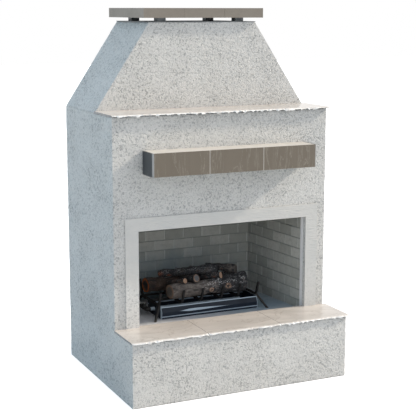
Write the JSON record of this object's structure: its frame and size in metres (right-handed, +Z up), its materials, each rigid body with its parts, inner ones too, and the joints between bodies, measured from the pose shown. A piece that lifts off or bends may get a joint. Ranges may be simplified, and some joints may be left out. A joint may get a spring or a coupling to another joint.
{
  "type": "outdoor fireplace",
  "caption": "Stuccoed outdoor fireplace with raised hearth, tiled mantel, tapered chimney hood and flat cap, and a brick lined firebox with a gas log set on a steel grate.",
  "frame": {"origin": "middle of the bottom of the bounding box, on the ground", "axes": "+X to the viewer's right across the front, +Y towards the back, +Z up"},
  "size_m": [1.552, 1.261, 2.438],
  "materials": {
    "stucco": "dashed cement stucco, matt, pale grey",
    "plaster": "trowelled smooth plaster, matt",
    "cream_stone": "honed cream stone slab",
    "grey_tile": "grey brown veined porcelain tile, satin",
    "board": "cement board, matt",
    "brick": "firebrick pattern refractory panel, matt",
    "refractory": "cast refractory, matt",
    "zinc_steel": "galvanised steel",
    "trim_metal": "light grey coated sheet steel",
    "pan_steel": "blued steel sheet, half gloss",
    "black_steel": "heat proof black paint, satin",
    "bright_steel": "bare steel tube",
    "bark_log": "cast refractory log with bark and char colours",
    "charred_log": "cast refractory log, charred black with tan ends"
  },
  "bodies": {
    "housing": {"hearth_front_panel": "stucco", "left_side_panel": "stucco", "right_side_panel": "stucco", "back_panel": "stucco", "front_wall_panel": "stucco", "hood_front_panel": "stucco", "hood_left_panel": "stucco", "hood_right_panel": "stucco", "plaster_surround": "plaster", "hearth_tile_1": "cream_stone", "hearth_tile_2": "cream_stone", "hearth_tile_3": "cream_stone", "ledge_slab": "cream_stone", "mantel_top_tile": "cream_stone", "mantel_face_tile_1": "grey_tile", "mantel_face_tile_2": "grey_tile", "mantel_face_tile_3": "grey_tile", "mantel_end_tile_left": "grey_tile", "mantel_end_tile_right": "grey_tile", "cap_front_tile_1": "grey_tile", "cap_front_tile_2": "grey_tile", "cap_front_tile_3": "grey_tile", "cap_back_tile_1": "grey_tile", "cap_back_tile_2": "grey_tile", "cap_back_tile_3": "grey_tile", "cap_end_tile_left": "grey_tile", "cap_end_tile_right": "grey_tile", "hearth_deck": "board", "ledge_deck": "board", "mantel_beam": "board", "cap_core": "board", "firebox_back_wall": "brick", "firebox_left_wall": "brick", "firebox_right_wall": "brick", "firebox_floor": "refractory", "steel_frame": "zinc_steel", "hood_lid": "zinc_steel", "flue_pipe": "zinc_steel", "firebox_shell": "zinc_steel", "opening_trim": "trim_metal", "mantel_corner_trim_left": "trim_metal", "mantel_corner_trim_right": "trim_metal", "burner_pan": "pan_steel", "cap_post_front_left": "black_steel", "cap_post_front_right": "black_steel", "cap_post_rear_left": "black_steel", "cap_post_rear_right": "black_steel", "gas_pipe": "black_steel", "gas_valve": "black_steel", "burner_tube": "bright_steel"},
    "grate": {"log_grate": "black_steel", "front_log": "bark_log", "rear_log": "bark_log", "middle_log": "charred_log", "twig_left": "charred_log", "twig_right": "charred_log"},
    "top_left_log": {"top_left_log": "charred_log"},
    "top_right_log": {"top_right_log": "charred_log"},
    "valve_lever": {"gas_valve_lever": "black_steel"}
  },
  "joints": [
    {"name": "grate_lift", "type": "slide", "parent": "housing", "child": "grate", "axis": [0, 0, 1], "range_m": [0, 0.12]},
    {"name": "top_left_log_lift", "type": "slide", "parent": "grate", "child": "top_left_log", "axis": [0, 0, 1], "range_m": [0, 0.15]},
    {"name": "top_right_log_lift", "type": "slide", "parent": "grate", "child": "top_right_log", "axis": [0, 0, 1], "range_m": [0, 0.15]},
    {"name": "valve_turn", "type": "hinge", "parent": "housing", "child": "valve_lever", "pos_m": [-0.421, 0.0625, 0.4693], "axis": [0, 0, 1], "range_deg": [0, 90]}
  ]
}
